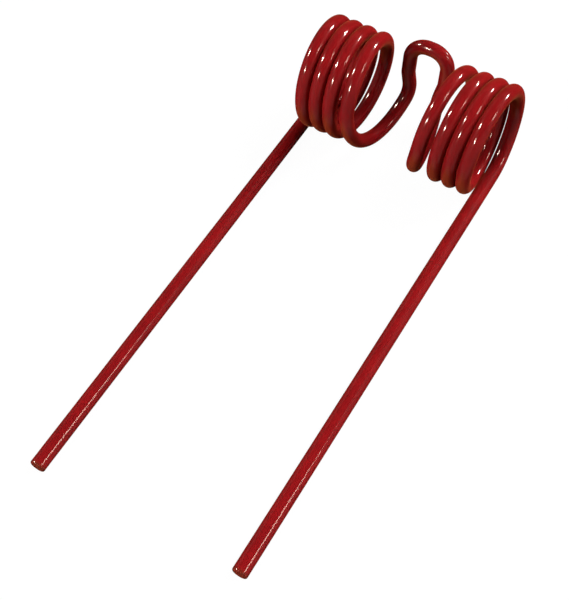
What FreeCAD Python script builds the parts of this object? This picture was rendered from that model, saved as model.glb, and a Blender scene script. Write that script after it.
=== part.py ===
import FreeCAD, Part
import math
import os
from FreeCAD import Placement, Rotation, Vector

# Double spring tine bent from one length of round wire: two straight legs, a close coil at the
# root of each, and a narrow loop that joins the coils and takes the fixing bolt.
# Millimetres. X is the coil axis, with the origin on it halfway between the coils. The legs run
# towards -Y, side by side at the level of the coils' lowest point, so the tine lies flat on them.

SIZES = (
    ("wire_diameter", 5.65, "5.5 mm round spring wire with its enamel"),
    ("coil_bore", 33.55, "inside diameter of the coils, which go over the tine bar"),
    ("coil_turns", 4, "full turns of each coil, after which the leg leaves level"),
    ("left_leg", 186, "straight length of the leg on -X"),
    ("right_leg", 182, "straight length of the leg on +X, cut a little shorter"),
    ("end_rounding", 0.7, "rounded edge of the cut ends"),
    ("turn_gap", 0.3, "air between the close turns"),
    ("last_turn_gap", 1.95, "air between the innermost turns, where the coil starts to open"),
    ("last_turn_angle", 331, "degrees wound with the wider gap"),
    ("lead_out_gap", 15.75, "air gained each turn on the way from the coil to the loop"),
    ("lead_out_angle", 125, "degrees wound with that slope"),
    ("exit_angle", 43, "degrees past the lowest point at which the wire leaves the coil"),
    ("pitch_ramp", 24, "degrees over which one slope changes to the next"),
    ("exit_straight", 5.2, "from the end of the coil to the corner of the neck bend"),
    ("neck_width", 6.45, "clear width between the strands at the neck"),
    ("neck_bend", 10, "centreline radius of the bend at the neck"),
    ("knee_inset", 2, "knee of the strand, measured in from the coil's centreline"),
    ("knee_drop", 1.7, "knee below the coil axis"),
    ("knee_bend", 8.3, "centreline radius of the bend at the knee"),
    ("eye_width", 10.15, "clear width of the loop's eye, which an M8 bolt goes through"),
    ("head_inset", 0.7, "top of the loop, measured in from the coil's centreline"),
    ("head_height", 12.9, "top of the loop above the coil axis, at its centreline"),
    ("head_bend", 7.2, "centreline radius of the bends at the top of the loop"),
)

FULL_TURN = 360.0
LOWEST = -90.0
ARCS_PER_TURN = 8
BEND_SHARE = 0.49
STRAIGHT_WITHIN = 1e-6
VOLUME_WITHIN = 1e-3


def make_sheet(document):
    """Spreadsheet with one named cell for each driving dimension."""
    sheet = document.addObject("Spreadsheet::Sheet", "Sizes")
    for row, (name, value, note) in enumerate(SIZES, start=1):
        sheet.set("A%d" % row, name)
        sheet.set("B%d" % row, str(value))
        sheet.setAlias("B%d" % row, name)
        sheet.set("C%d" % row, note)
    document.recompute()
    return sheet


class Tine:
    """Half of the centreline, on +X. Angles go round the coil from +Y towards +Z, in degrees."""

    def __init__(self, sheet):
        for name, _, _ in SIZES:
            setattr(self, name, float(sheet.get(name)))
        self.coil_radius = (self.coil_bore + self.wire_diameter) / 2
        self.root_at = LOWEST - FULL_TURN * self.coil_turns
        self.exit_at = LOWEST + self.exit_angle
        # the coil stands where its strand gives the neck the stated width
        self.exit_x = 0.0
        self.exit_x = (self.neck_width + self.wire_diameter) / 2 - self.neck().x

    def slopes(self, angle):
        """Each change of the coil's advance per turn, and the angle wound since, from the exit back."""
        lead = self.wire_diameter + self.lead_out_gap
        last = self.wire_diameter + self.last_turn_gap
        close = self.wire_diameter + self.turn_gap
        back = self.exit_at - angle
        return (
            (last - lead, back - self.lead_out_angle),
            (close - last, back - self.lead_out_angle - self.last_turn_angle),
            # beside the leg the wire is square to the axis
            (-close, self.root_at + self.pitch_ramp - angle),
        )

    def advance(self, angle):
        """Millimetres along X per turn at an angle."""
        result = self.wire_diameter + self.lead_out_gap
        for change, since in self.slopes(angle):
            result += change * min(max(since / self.pitch_ramp, 0.0), 1.0)
        return result

    def way_out(self, angle):
        """Distance along X from the end of the coil back to an angle."""
        way = (self.wire_diameter + self.lead_out_gap) * (self.exit_at - angle)
        for change, since in self.slopes(angle):
            if since > self.pitch_ramp:
                way += change * (since - self.pitch_ramp / 2)
            elif since > 0:
                way += change * since ** 2 / (2 * self.pitch_ramp)
        return way / FULL_TURN

    def coil_point(self, angle):
        turn = math.radians(angle)
        return Vector(
            self.exit_x + self.way_out(angle),
            self.coil_radius * math.cos(turn),
            self.coil_radius * math.sin(turn),
        )

    def coil_direction(self, angle):
        """Unit tangent towards the loop."""
        turn = math.radians(angle)
        return Vector(
            -self.advance(angle) / math.tau,
            -self.coil_radius * math.sin(turn),
            self.coil_radius * math.cos(turn),
        ).normalize()

    def neck(self):
        """Corner of the neck bend, straight on from the end of the coil."""
        return self.coil_point(self.exit_at) + self.coil_direction(self.exit_at) * self.exit_straight


def arc_from(start, direction, end):
    """Edge that leaves start in the given direction and reaches end."""
    chord = end - start
    normal = direction.cross(chord)
    if normal.Length < STRAIGHT_WITHIN * chord.Length:
        return Part.makeLine(start, end)
    normal.normalize()
    inward = normal.cross(direction)
    centre = start + inward * (chord.dot(chord) / (2 * chord.dot(inward)))
    half_turn = math.atan2(chord.dot(inward), chord.dot(direction))
    spoke = Rotation(normal, math.degrees(half_turn)).multVec(start - centre)
    return Part.Arc(start, centre + spoke, end).toShape()


def arc_pair(start, direction, end, end_direction):
    """Two tangent arcs between two points with given directions."""
    chord = end - start
    lean = 2 * (1 - direction.dot(end_direction))
    along = chord.dot(direction + end_direction)
    reach = (math.sqrt(along ** 2 + lean * chord.dot(chord)) - along) / lean
    middle = (start + end + (direction - end_direction) * reach) * 0.5
    first = arc_from(start, direction, middle)
    second = arc_from(middle, first.tangentAt(first.LastParameter), end)
    return [first, second]


def coil_edges(tine):
    """Coil from the root of the leg to its end."""
    sweep = tine.exit_at - tine.root_at
    spans = math.ceil(ARCS_PER_TURN * sweep / FULL_TURN)
    angles = [tine.root_at + sweep * index / spans for index in range(spans + 1)]
    edges = []
    for before, after in zip(angles, angles[1:]):
        edges += arc_pair(
            tine.coil_point(before),
            tine.coil_direction(before),
            tine.coil_point(after),
            tine.coil_direction(after),
        )
    return edges


def bent_edges(points, radii):
    """Straight runs between points, with a bend at each inner point as wide as its runs allow."""
    runs = [after - before for before, after in zip(points, points[1:])]
    # an inner run is shared by the bends at its two ends
    rooms = [run.Length * BEND_SHARE for run in runs]
    rooms[0] *= 2
    rooms[-1] *= 2
    edges = []
    reached = points[0]
    for index, radius in enumerate(radii):
        corner = points[index + 1]
        half_turn = runs[index].getAngle(runs[index + 1]) / 2
        setback = min(radius * math.tan(half_turn), rooms[index], rooms[index + 1])
        arriving = Vector(runs[index]).normalize()
        leaving = Vector(runs[index + 1]).normalize()
        bend_start = corner - arriving * setback
        bend_end = corner + leaving * setback
        edges.append(Part.makeLine(reached, bend_start))
        edges.append(arc_from(bend_start, arriving, bend_end))
        reached = bend_end
    edges.append(Part.makeLine(reached, points[-1]))
    return edges


def loop_edges(tine):
    """Strand from the end of the coil through neck and knee to the middle of the loop's top."""
    strand = (tine.eye_width + tine.wire_diameter) / 2
    knee = Vector(strand, tine.coil_radius - tine.knee_inset, -tine.knee_drop)
    head = Vector(strand, tine.coil_radius - tine.head_inset, tine.head_height)
    middle = Vector(0, head.y, head.z)
    points = [tine.coil_point(tine.exit_at), tine.neck(), knee, head, middle]
    return bent_edges(points, (tine.neck_bend, tine.knee_bend, tine.head_bend))


def half_edges(tine, leg_length):
    """Half of the wire, from the tip of its leg to the middle of the loop."""
    root = tine.coil_point(tine.root_at)
    leg = Part.makeLine(root - tine.coil_direction(tine.root_at) * leg_length, root)
    return [leg] + coil_edges(tine) + loop_edges(tine)


def centreline(tine):
    """Whole wire, from the tip on -X to the tip on +X."""
    middle_plane = (Vector(), Vector(1, 0, 0))
    left = [edge.mirror(*middle_plane) for edge in half_edges(tine, tine.left_leg)]
    right = half_edges(tine, tine.right_leg)
    return Part.Wire(left + right[::-1])


def make_wire(document, path):
    """Solid round wire along the centreline, cut square at both tips."""
    tip = path.Shape.Edges[0]
    section = document.addObject("Part::Circle", "Section")
    section.setExpression("Radius", "Sizes.wire_diameter / 2")
    facing = Rotation(Vector(0, 0, 1), tip.tangentAt(tip.FirstParameter))
    section.Placement = Placement(tip.valueAt(tip.FirstParameter), facing)
    wire = document.addObject("Part::Sweep", "Wire")
    wire.Sections = [section]
    wire.Spine = (path, ["Edge%d" % (index + 1) for index in range(len(path.Shape.Edges))])
    wire.Solid = True
    document.recompute()
    return wire


def round_ends(document, wire, radius):
    """Wire with the edges of its two cut faces rounded."""
    rims = [face.Edges[0] for face in wire.Shape.Faces if isinstance(face.Surface, Part.Plane)]
    numbers = [
        number
        for number, edge in enumerate(wire.Shape.Edges, start=1)
        if any(edge.isSame(rim) for rim in rims)
    ]
    rounded = document.addObject("Part::Fillet", "SpringTine")
    rounded.Base = wire
    rounded.Edges = [(number, radius, radius) for number in numbers]
    rounded.Label = "spring_tine"
    document.recompute()
    return rounded


def check(document, part, path, tine):
    """Stop if a feature failed, or if the solid isn't the whole wire."""
    for item in document.Objects:
        if "Invalid" in item.State or "Error" in item.State:
            raise RuntimeError("%s failed: %s" % (item.Name, item.State))
    shape = part.Shape
    if shape.isNull() or not shape.isValid() or len(shape.Solids) != 1:
        raise RuntimeError("%s isn't one valid solid" % part.Label)
    stock = path.Shape.Length * math.pi * tine.wire_diameter ** 2 / 4
    if abs(shape.Volume / stock - 1) > VOLUME_WITHIN:
        raise RuntimeError("%s has %.0f mm3 of %.0f" % (part.Label, shape.Volume, stock))


document = FreeCAD.newDocument("spring_tine")
sheet = make_sheet(document)
tine = Tine(sheet)
path = document.addObject("Part::Feature", "Centreline")
path.Shape = centreline(tine)
wire = make_wire(document, path)
spring_tine = round_ends(document, wire, tine.end_rounding)
check(document, spring_tine, path, tine)

os.makedirs("parts", exist_ok=True)
spring_tine.Shape.exportStep("parts/%s.step" % spring_tine.Label)
print("wire %.0f mm long" % path.Shape.Length)
print("legs %.1f mm apart" % (2 * tine.coil_point(tine.root_at).x))
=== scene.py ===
import math
import bpy
from mathutils import Matrix, Vector, noise


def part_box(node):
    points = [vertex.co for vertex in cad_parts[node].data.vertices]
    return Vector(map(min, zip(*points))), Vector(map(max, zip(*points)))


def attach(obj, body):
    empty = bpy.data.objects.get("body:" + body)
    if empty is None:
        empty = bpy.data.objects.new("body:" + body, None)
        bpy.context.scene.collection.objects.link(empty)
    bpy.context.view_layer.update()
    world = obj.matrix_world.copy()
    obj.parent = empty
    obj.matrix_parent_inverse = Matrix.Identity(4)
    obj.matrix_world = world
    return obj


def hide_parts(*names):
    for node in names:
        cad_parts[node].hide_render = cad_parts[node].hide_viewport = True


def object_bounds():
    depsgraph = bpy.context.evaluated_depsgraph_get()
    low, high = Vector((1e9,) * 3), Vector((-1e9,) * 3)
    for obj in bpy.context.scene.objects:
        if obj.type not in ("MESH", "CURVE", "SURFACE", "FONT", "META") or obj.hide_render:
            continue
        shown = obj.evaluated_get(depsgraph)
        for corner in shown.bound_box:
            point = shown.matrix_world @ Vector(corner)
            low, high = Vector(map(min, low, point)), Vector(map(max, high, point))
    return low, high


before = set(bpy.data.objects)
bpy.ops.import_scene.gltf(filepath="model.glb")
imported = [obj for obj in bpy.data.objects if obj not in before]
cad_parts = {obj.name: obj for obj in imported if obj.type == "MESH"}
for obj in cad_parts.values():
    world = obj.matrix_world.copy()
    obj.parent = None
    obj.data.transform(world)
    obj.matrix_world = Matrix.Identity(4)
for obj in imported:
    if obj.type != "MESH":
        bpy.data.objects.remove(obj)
cadLow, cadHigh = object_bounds()

# Lengths in the dictionaries are millimetres and angles are degrees.
mm = 0.001
fullTurn = 360.0
quarterTurn = 90.0
lowest = -90.0                 # bottom of a coil, where its leg starts


def linearColour(hexColour):
    parts = [int(hexColour[i:i + 2], 16) / 255 for i in (0, 2, 4)]
    return [c / 12.92 if c <= 0.04045 else ((c + 0.055) / 1.055) ** 2.4 for c in parts] + [1.0]


def addNode(tree, kind, inputs, **settings):
    node = tree.nodes.new(kind)
    for name, value in settings.items():
        setattr(node, name, value)
    for name, value in inputs.items():
        if isinstance(value, bpy.types.NodeSocket):
            tree.links.new(value, node.inputs[name])
        else:
            node.inputs[name].default_value = value
    return node


def newMaterial(name):
    material = bpy.data.materials.new(name)
    material.use_nodes = True
    material.node_tree.nodes.clear()
    return material


def tubeFaces(ringCount, sides):
    faces = []
    for ring in range(ringCount - 1):
        for side in range(sides):
            a = ring * sides + side
            b = ring * sides + (side + 1) % sides
            faces.append((a, b, b + sides, a + sides))
    return faces


# The wire: straight legs, coils wound opposite ways, and the loop between them.
wireLook = {
    "node": "spring_tine",
    "body": "root",
    "slot": "enamelled_wire",
    "diameter": 5.65,
    "coilTurns": 4,
    "legDifference": 4.0,      # the right leg is cut this much shorter
    "turnGap": 0.3,
    "lastTurnGap": 1.95,       # the innermost turn stands off
    "lastTurnAngle": 331.0,
    "leadOutGap": 15.75,       # gained each turn on the way to the loop
    "leadOutAngle": 125.0,
    "exitAngle": 43.0,         # past the lowest point, where the wire leaves the coil
    "pitchRamp": 24.0,         # over which one slope changes to the next
    "exitStraight": 5.2,       # up to the corner of the neck
    "neckBend": 10.0,
    "kneeInset": 2.0,          # in from the coil's own centreline, like headInset
    "kneeDrop": 1.7,           # below the coil axis
    "kneeBend": 8.3,
    "eyeWidth": 10.15,         # clear, for the bolt
    "headInset": 0.7,
    "headHeight": 12.9,        # above the coil axis
    "headBend": 7.2,
    "sides": 40,               # facets round the wire
    "ringEvery": 0.5,          # along coils, loop and tips
    "ringEveryOnLegs": 1.5,
    "fineTip": 8.0,            # stretch of each tip with close rings
    "endRounding": 0.7,
    "roundingSteps": 6,
    "endInsets": (1.0, 1.5, 2.1, 2.6),  # rings on the cut face, in from the wire's side
    "endHollow": 0.05,         # the coat sinks in over the cut face
    "waveHeight": 0.015,       # long, low waves in the enamel
    "waveLength": 9.0,
    "rippleHeight": 0.004,
    "rippleLength": 2.4,
    "beadDip": 0.02,           # behind the low bead that enamel forms along the cut edge
    "beadFrom": 4.2,
    "beadLength": 1.4,
    "thinEdge": 0.35,          # the coat thickens over about this length from the cut edge
    "paintedReflectionSide": (0.0, -0.8, -0.6),  # painted brown reflection, low on the coils' front
    "paintedReflectionFrom": 0.6,        # cosine with that side, which no point of the legs exceeds
    "paintedReflectionOver": 0.3,
}

# the coil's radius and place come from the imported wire's own box
wireRadius = wireLook["diameter"] / 2
boxLow, boxHigh = (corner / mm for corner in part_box(wireLook["node"]))
coilRadius = -boxLow.z - wireRadius
rootX = boxHigh.x - wireRadius
legLength = -boxLow.y
windingAngle = fullTurn * wireLook["coilTurns"] + wireLook["exitAngle"]


# Below, back is the angle wound since the end of the coil, where the wire leaves for the loop.
def coilSlopes(back):
    look = wireLook
    lead = look["diameter"] + look["leadOutGap"]
    last = look["diameter"] + look["lastTurnGap"]
    close = look["diameter"] + look["turnGap"]
    return (
        (last - lead, back - look["leadOutAngle"]),
        (close - last, back - look["leadOutAngle"] - look["lastTurnAngle"]),
        (-close, back - (windingAngle - look["pitchRamp"])),
    )


def wayOut(back):
    ramp = wireLook["pitchRamp"]
    way = (wireLook["diameter"] + wireLook["leadOutGap"]) * back
    for change, since in coilSlopes(back):
        if since > ramp:
            way += change * (since - ramp / 2)
        elif since > 0:
            way += change * since ** 2 / (2 * ramp)
    return way / fullTurn


def coilPoint(back):
    turn = math.radians(lowest + wireLook["exitAngle"] - back)
    x = rootX - wayOut(windingAngle) + wayOut(back)
    return Vector((x, coilRadius * math.cos(turn), coilRadius * math.sin(turn)))


def straightPoints(start, end, spacing):
    count = max(1, math.ceil((end - start).length / spacing))
    return [start.lerp(end, i / count) for i in range(count)]


def bentPoints(corners, radii, spacing):
    points = []
    reached = corners[0]
    for i, radius in enumerate(radii):
        corner = corners[i + 1]
        arriving = (corner - corners[i]).normalized()
        leaving = (corners[i + 2] - corner).normalized()
        turn = arriving.angle(leaving)
        setback = radius * math.tan(turn / 2)
        bendStart = corner - arriving * setback
        points += straightPoints(reached, bendStart, spacing)
        axis = arriving.cross(leaving).normalized()
        centre = bendStart + axis.cross(arriving) * radius
        steps = max(1, math.ceil(radius * turn / spacing))
        for step in range(steps):
            points.append(centre + Matrix.Rotation(turn * step / steps, 3, axis) @ (bendStart - centre))
        reached = corner + leaving * setback
    return points + straightPoints(reached, corners[-1], spacing) + [corners[-1]]


def halfLine(leg):
    look = wireLook
    spacing = look["ringEvery"]
    root = coilPoint(windingAngle)
    tip = root - Vector((0, leg, 0))
    fineEnd = tip + Vector((0, look["fineTip"], 0))
    points = straightPoints(tip, fineEnd, spacing)
    points += straightPoints(fineEnd, root, look["ringEveryOnLegs"])
    steps = math.ceil(math.radians(windingAngle) * coilRadius / spacing)
    points += [coilPoint(windingAngle * (1 - step / steps)) for step in range(steps)]
    strand = (look["eyeWidth"] + look["diameter"]) / 2
    coilEnd = coilPoint(0)
    justBefore = 0.01          # degrees
    leaving = (coilEnd - coilPoint(justBefore)).normalized()
    corners = [
        coilEnd,
        coilEnd + leaving * look["exitStraight"],
        Vector((strand, coilRadius - look["kneeInset"], -look["kneeDrop"])),
        Vector((strand, coilRadius - look["headInset"], look["headHeight"])),
        Vector((0, coilRadius - look["headInset"], look["headHeight"])),
    ]
    return points + bentPoints(corners, (look["neckBend"], look["kneeBend"], look["headBend"]), spacing)


def wholeLine():
    mirrored = [Vector((-p.x, p.y, p.z)) for p in halfLine(legLength)]
    right = halfLine(legLength - wireLook["legDifference"])
    return mirrored + right[-2::-1]


def endRings(tip, outward):
    # round the edge of the cut and then across its face
    look = wireLook
    rounding = look["endRounding"]
    rings = []
    for step in range(1, look["roundingSteps"] + 1):
        turn = math.radians(quarterTurn * step / look["roundingSteps"])
        rings.append((tip + outward * rounding * (math.sin(turn) - 1), rounding * (1 - math.cos(turn))))
    for inset in look["endInsets"]:
        rings.append((tip - outward * look["endHollow"] * (inset - rounding) / wireRadius, inset))
    return rings


def wireRings(line):
    # each ring has its centre, the wire's direction there, how far it is in from the full radius, and
    # its distance from the nearer tip
    lengths = [0.0]
    for before, after in zip(line, line[1:]):
        lengths.append(lengths[-1] + (after - before).length)
    total = lengths[-1]
    last = len(line) - 1
    tangents = [(line[min(i + 1, last)] - line[max(i - 1, 0)]).normalized() for i in range(last + 1)]
    rings = []
    for centre, inset in reversed(endRings(line[0], -tangents[0])):
        rings.append((centre, tangents[0], inset, 0.0))
    for centre, tangent, length in zip(line, tangents, lengths):
        fromTip = min(length, total - length)
        if fromTip >= wireLook["endRounding"]:
            rings.append((centre, tangent, 0.0, fromTip))
    for centre, inset in endRings(line[-1], tangents[-1]):
        rings.append((centre, tangents[-1], inset, 0.0))
    print("wire: %.0f mm long, %d rings" % (total, len(rings)))
    return rings


def coatHeight(point, fromTip):
    look = wireLook
    wave = noise.noise(point / look["waveLength"]) * look["waveHeight"]
    ripple = noise.noise(point / look["rippleLength"]) * look["rippleHeight"]
    dip = look["beadDip"] * math.exp(-((fromTip - look["beadFrom"]) / look["beadLength"]) ** 2)
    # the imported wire's own radius is the highest that the coat reaches
    return min(wave + ripple - dip - look["waveHeight"] / 2, 0.0)


def thinShare(inset, fromTip):
    if inset > 0:
        return 1.0
    return math.exp((wireLook["endRounding"] - fromTip) / wireLook["thinEdge"])


# brown reflection painted on the sides that face front and down
def paintedReflectionShare(outward):
    facingSide = outward.dot(Vector(wireLook["paintedReflectionSide"]))
    share = (facingSide - wireLook["paintedReflectionFrom"]) / wireLook["paintedReflectionOver"]
    share = min(max(share, 0.0), 1.0)
    return share * share * (3 - 2 * share)  # eases in and out


def buildWire():
    rings = wireRings(wholeLine())
    sides = wireLook["sides"]
    points, thin, paintedReflection = [], [], []
    across = Vector((0, 0, 1))
    for centre, tangent, inset, fromTip in rings:
        across = (across - tangent * across.dot(tangent)).normalized()
        beside = tangent.cross(across)
        for side in range(sides):
            turn = math.tau * side / sides
            outward = across * math.cos(turn) + beside * math.sin(turn)
            radius = wireRadius - inset + coatHeight(centre + outward * wireRadius, fromTip)
            points.append((centre + outward * radius) * mm)
            thin.append(thinShare(inset, fromTip))
            paintedReflection.append(paintedReflectionShare(outward))
    firstEnd = tuple(range(sides - 1, -1, -1))
    lastEnd = tuple(range(len(points) - sides, len(points)))
    faces = tubeFaces(len(rings), sides) + [firstEnd, lastEnd]

    mesh = bpy.data.meshes.new("tineWire")
    mesh.from_pydata(points, [], faces)
    for name, values in (("thinCoat", thin), ("paintedBrownReflection", paintedReflection)):
        attribute = mesh.attributes.new(name, "FLOAT", "POINT")
        attribute.data.foreach_set("value", values)
    mesh.shade_smooth()
    wire = bpy.data.objects.new("tineWire", mesh)
    bpy.context.scene.collection.objects.link(wire)
    print("wire meshed: %d faces" % len(faces))
    return wire


enamelLook = {
    "red": "9C181B",
    "deepRed": "8C1518",       # where the coat is thicker
    "blotch": 11.0,            # colour and gloss drift over this length
    "blotchDetail": 3.0,
    "blotchRoughness": 0.55,
    "thickFrom": 0.35,         # in the noise's own range of 0 to 1, as the next three are
    "thickTo": 0.68,
    "dullFrom": 0.3,
    "dullTo": 0.75,
    "roughness": 0.08,         # where the gloss is wettest
    "dullest": 0.14,
    "edgeBrown": "6B3A22",     # thin coat over the cut edges
    "edgeMottle": 1.6,
    "edgeDetail": 2.0,
    "paintedReflectionBrown": "A65228",  # painted brown reflection, low on the coils' front
    "paintedReflection": 0.4,            # how far the colour goes to that painted brown
    "ior": 1.5,
    "specularLevel": 0.1,      # low, so that the white floor doesn't make the red milky
    "fadeFrom": 0.29,          # the gloss fades as the surface turns away, 0 being face on
    "fadeTo": 0.43,
    "mirrored": "FFE4D2",      # warms the points of gloss
    "peel": 1.3,               # orange peel of dipped enamel
    "peelDepth": 0.002,
    "peelDetail": 2.0,
    "peelRoughness": 0.4,
    "sheen": 0.55,
    "sheenRoughness": 0.35,
    "sheenBrown": "C07446",    # warm light off the edges of the coat
}


def dipEnamelledSpringSteel():
    # Red alkyd enamel, dipped and left to drain: a wet gloss with a low orange peel, browner where the
    # coat is thin at the cut edges, and with a painted brown reflection low on the coils' front.
    look = enamelLook
    material = newMaterial("dipEnamelledSpringSteel")
    tree = material.node_tree
    place = addNode(tree, "ShaderNodeTexCoord", {})
    blotches = addNode(tree, "ShaderNodeTexNoise", {
        "Vector": place.outputs["Object"], "Scale": 1 / (look["blotch"] * mm),
        "Detail": look["blotchDetail"], "Roughness": look["blotchRoughness"]})
    depth = addNode(tree, "ShaderNodeMapRange", {
        "Value": blotches.outputs["Fac"], "From Min": look["thickFrom"], "From Max": look["thickTo"]})
    coat = addNode(tree, "ShaderNodeMix", {
        0: depth.outputs["Result"], 6: linearColour(look["red"]), 7: linearColour(look["deepRed"])},
        data_type="RGBA")
    # painted brown reflection, mixed into the colour low on the coils' front
    paintedReflection = addNode(tree, "ShaderNodeAttribute", {}, attribute_name="paintedBrownReflection")
    paintedReflectionWeight = addNode(tree, "ShaderNodeMath", {
        0: paintedReflection.outputs["Fac"], 1: look["paintedReflection"]}, operation="MULTIPLY")
    coatAndPaintedReflection = addNode(tree, "ShaderNodeMix", {
        0: paintedReflectionWeight.outputs["Value"], 6: coat.outputs[2], 7: linearColour(look["paintedReflectionBrown"])},
        data_type="RGBA")
    thin = addNode(tree, "ShaderNodeAttribute", {}, attribute_name="thinCoat")
    mottle = addNode(tree, "ShaderNodeTexNoise", {
        "Vector": place.outputs["Object"], "Scale": 1 / (look["edgeMottle"] * mm),
        "Detail": look["edgeDetail"]})
    worn = addNode(tree, "ShaderNodeMath", {
        0: thin.outputs["Fac"], 1: mottle.outputs["Fac"]}, operation="MULTIPLY")
    colour = addNode(tree, "ShaderNodeMix", {
        0: worn.outputs["Value"], 6: coatAndPaintedReflection.outputs[2], 7: linearColour(look["edgeBrown"])},
        data_type="RGBA")
    gloss = addNode(tree, "ShaderNodeMapRange", {
        "Value": blotches.outputs["Fac"], "From Min": look["dullFrom"], "From Max": look["dullTo"],
        "To Min": look["roughness"], "To Max": look["dullest"]})
    peel = addNode(tree, "ShaderNodeTexNoise", {
        "Vector": place.outputs["Object"], "Scale": 1 / (look["peel"] * mm),
        "Detail": look["peelDetail"], "Roughness": look["peelRoughness"]})
    bump = addNode(tree, "ShaderNodeBump", {
        "Height": peel.outputs["Fac"], "Strength": 1.0, "Distance": look["peelDepth"] * mm})
    turned = addNode(tree, "ShaderNodeLayerWeight", {})
    mirror = addNode(tree, "ShaderNodeMapRange", {
        "Value": turned.outputs["Facing"], "From Min": look["fadeFrom"], "From Max": look["fadeTo"],
        "To Min": look["specularLevel"], "To Max": 0.0})
    shader = addNode(tree, "ShaderNodeBsdfPrincipled", {
        "Base Color": colour.outputs[2],
        "Roughness": gloss.outputs["Result"],
        "IOR": look["ior"],
        "Specular IOR Level": mirror.outputs["Result"],
        "Specular Tint": linearColour(look["mirrored"]),
        "Sheen Weight": look["sheen"],
        "Sheen Roughness": look["sheenRoughness"],
        "Sheen Tint": linearColour(look["sheenBrown"]),
        "Normal": bump.outputs["Normal"]})
    # the socket also holds this level, the same all over, for use without the fade; the
    # exported model drops the fade and has this level all over
    shader.inputs["Specular IOR Level"].default_value = look["specularLevel"]
    addNode(tree, "ShaderNodeOutputMaterial", {"Surface": shader.outputs["BSDF"]})
    return material


# The room: a round floor that bends up into a wall, and a faint sky.
roomLook = {
    "floorColour": "404040",   # dark, so that little light comes back from it
    "floorGlow": 0.97,         # and this shown instead, 1 being white
    "floorRadius": 3000.0,
    "floorRings": (0.02, 0.2, 0.5, 1.0),  # shares of that radius
    "wallBend": 700.0,
    "bendSteps": 9,
    "wallHeight": 3000.0,
    "sides": 96,
    "skyColour": "FFFFFF",
    "skyStrength": 0.02,
}


def paleStudioPaper():
    # Matt white backdrop paper: it looks white to the camera and in the gloss, and keeps the tine's
    # shadow.
    look = roomLook
    material = newMaterial("paleStudioPaper")
    tree = material.node_tree
    matt = addNode(tree, "ShaderNodeBsdfDiffuse", {"Color": linearColour(look["floorColour"])})
    path = addNode(tree, "ShaderNodeLightPath", {})
    seen = addNode(tree, "ShaderNodeMath", {
        0: path.outputs["Is Camera Ray"], 1: path.outputs["Is Glossy Ray"]}, operation="MAXIMUM")
    shown = addNode(tree, "ShaderNodeMath", {
        0: seen.outputs["Value"], 1: path.outputs["Is Transmission Ray"]}, operation="MAXIMUM")
    strength = addNode(tree, "ShaderNodeMath", {
        0: shown.outputs["Value"], 1: look["floorGlow"]}, operation="MULTIPLY")
    glow = addNode(tree, "ShaderNodeEmission", {"Strength": strength.outputs["Value"]})
    both = addNode(tree, "ShaderNodeAddShader", {0: matt.outputs["BSDF"], 1: glow.outputs["Emission"]})
    addNode(tree, "ShaderNodeOutputMaterial", {"Surface": both.outputs["Shader"]})
    return material


def buildSweep():
    look = roomLook
    bend = look["wallBend"]
    sides = look["sides"]
    profile = [(look["floorRadius"] * share, 0.0) for share in look["floorRings"]]
    for step in range(1, look["bendSteps"] + 1):
        turn = math.radians(quarterTurn * step / look["bendSteps"])
        profile.append((look["floorRadius"] + bend * math.sin(turn), bend * (1 - math.cos(turn))))
    profile.append((look["floorRadius"] + bend, look["wallHeight"]))
    points = [
        (radius * math.cos(math.tau * side / sides) * mm,
         radius * math.sin(math.tau * side / sides) * mm,
         height * mm + cadLow.z)
        for radius, height in profile
        for side in range(sides)
    ]
    # turned round, so that the floor faces up and the wall inwards
    faces = [tuple(range(sides))] + [face[::-1] for face in tubeFaces(len(profile), sides)]
    mesh = bpy.data.meshes.new("studioSweep")
    mesh.from_pydata(points, [], faces)
    mesh.shade_smooth()
    sweep = bpy.data.objects.new("studioSweep", mesh)
    sweep.data.materials.append(paleStudioPaper())
    bpy.context.scene.collection.objects.link(sweep)


def buildSky():
    # faint light from all round, which the gloss doesn't mirror
    world = bpy.data.worlds.new("studioSky")
    bpy.context.scene.world = world
    world.use_nodes = True
    sky = world.node_tree.nodes["Background"]
    sky.inputs["Color"].default_value = linearColour(roomLook["skyColour"])
    sky.inputs["Strength"].default_value = roomLook["skyStrength"]
    world.cycles_visibility.glossy = False


# Lamps and camera: azimuth 0 is towards -Y and 90 towards +X.

# soft lamps that light the colour and don't show in the gloss
softboxes = {
    "distance": 1500.0,
    "places": {
        "backSoftbox": {"azimuth": 150.0, "elevation": 40.0, "size": 900.0, "watts": 16.5},
        "frontSoftbox": {"azimuth": -30.0, "elevation": 40.0, "size": 900.0, "watts": 10.0},
        "rightSoftbox": {"azimuth": 105.0, "elevation": 25.0, "size": 900.0, "watts": 8.5},
        "lowFrontSoftbox": {"azimuth": -30.0, "elevation": 12.0, "size": 900.0, "watts": 10.0},
        "lowBackSoftbox": {"azimuth": 150.0, "elevation": 12.0, "size": 900.0, "watts": 3.0},
    },
}

# bright lamps that only show as points of gloss on the enamel
glossLamps = {
    "distance": 3000.0,
    "places": {
        "leftLamp": {"azimuth": -80.0, "elevation": 36.0, "size": 400.0, "watts": 330.0},
        "frontLamp": {"azimuth": -24.0, "elevation": 36.0, "size": 400.0, "watts": 330.0},
        "backLamp": {"azimuth": 148.0, "elevation": 19.0, "size": 400.0, "watts": 420.0},
        "rightLamp": {"azimuth": 104.0, "elevation": 31.0, "size": 800.0, "watts": 75.0},
    },
}


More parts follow.
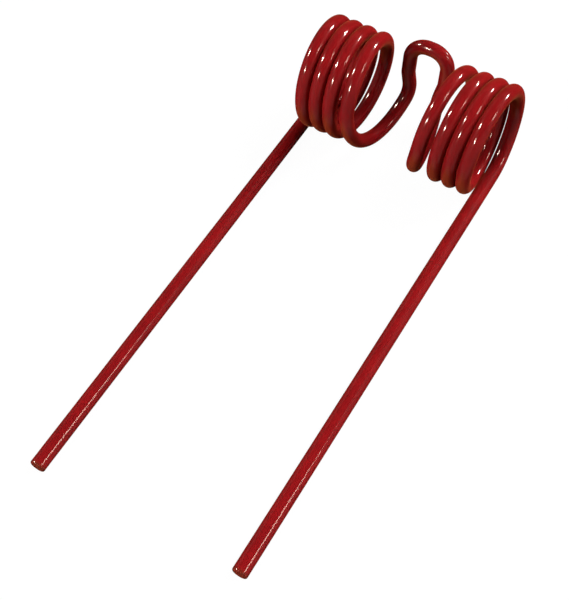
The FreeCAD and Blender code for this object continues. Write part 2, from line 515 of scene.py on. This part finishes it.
def towards(azimuth, elevation):
    a, e = math.radians(azimuth), math.radians(elevation)
    return Vector((math.sin(a) * math.cos(e), -math.cos(a) * math.cos(e), math.sin(e)))


def placeLamps(lamps, inReflections):
    centre = (cadLow + cadHigh) / 2
    for name, place in lamps["places"].items():
        light = bpy.data.lights.new(name, "AREA")
        light.shape = "DISK"
        light.size = place["size"] * mm
        light.energy = place["watts"]
        lamp = bpy.data.objects.new(name, light)
        away = towards(place["azimuth"], place["elevation"])
        lamp.location = centre + away * lamps["distance"] * mm
        lamp.rotation_mode = "QUATERNION"
        lamp.rotation_quaternion = away.to_track_quat("Z", "Y")
        lamp.visible_camera = False
        lamp.visible_glossy = inReflections
        lamp.visible_diffuse = not inReflections
        bpy.context.scene.collection.objects.link(lamp)


viewpoint = {
    "azimuth": 34.0,
    "elevation": 58.18,
    "roll": -3.25,
    "distance": 320.5,
    "lookAt": (15.43, -113.45, 28.73),
    "lens": 62.43,
    "sensor": 36.0,
    "clipStart": 10.0,
}


def placeCamera():
    look = viewpoint
    back = towards(look["azimuth"], look["elevation"])
    azimuth = math.radians(look["azimuth"])
    right = Vector((math.cos(azimuth), math.sin(azimuth), 0))
    facing = Matrix((right, back.cross(right), back)).transposed()
    facing = facing @ Matrix.Rotation(math.radians(look["roll"]), 3, "Z")
    eye = (Vector(look["lookAt"]) + back * look["distance"]) * mm
    lens = bpy.data.cameras.new("camera")
    lens.sensor_width = look["sensor"]
    lens.lens = look["lens"]
    lens.clip_start = look["clipStart"] * mm
    camera = bpy.data.objects.new("camera", lens)
    camera.matrix_world = Matrix.Translation(eye) @ facing.to_4x4()
    bpy.context.scene.collection.objects.link(camera)
    bpy.context.scene.camera = camera


tineWire = buildWire()
tineWire.data.materials.append(dipEnamelledSpringSteel())
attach(tineWire, wireLook["body"])
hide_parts(wireLook["node"])
print("wire enamelled")

buildSweep()
buildSky()
print("room built")
placeLamps(softboxes, False)
placeLamps(glossLamps, True)
placeCamera()
bpy.context.scene.view_settings.view_transform = "Standard"
print("lamps and camera placed")
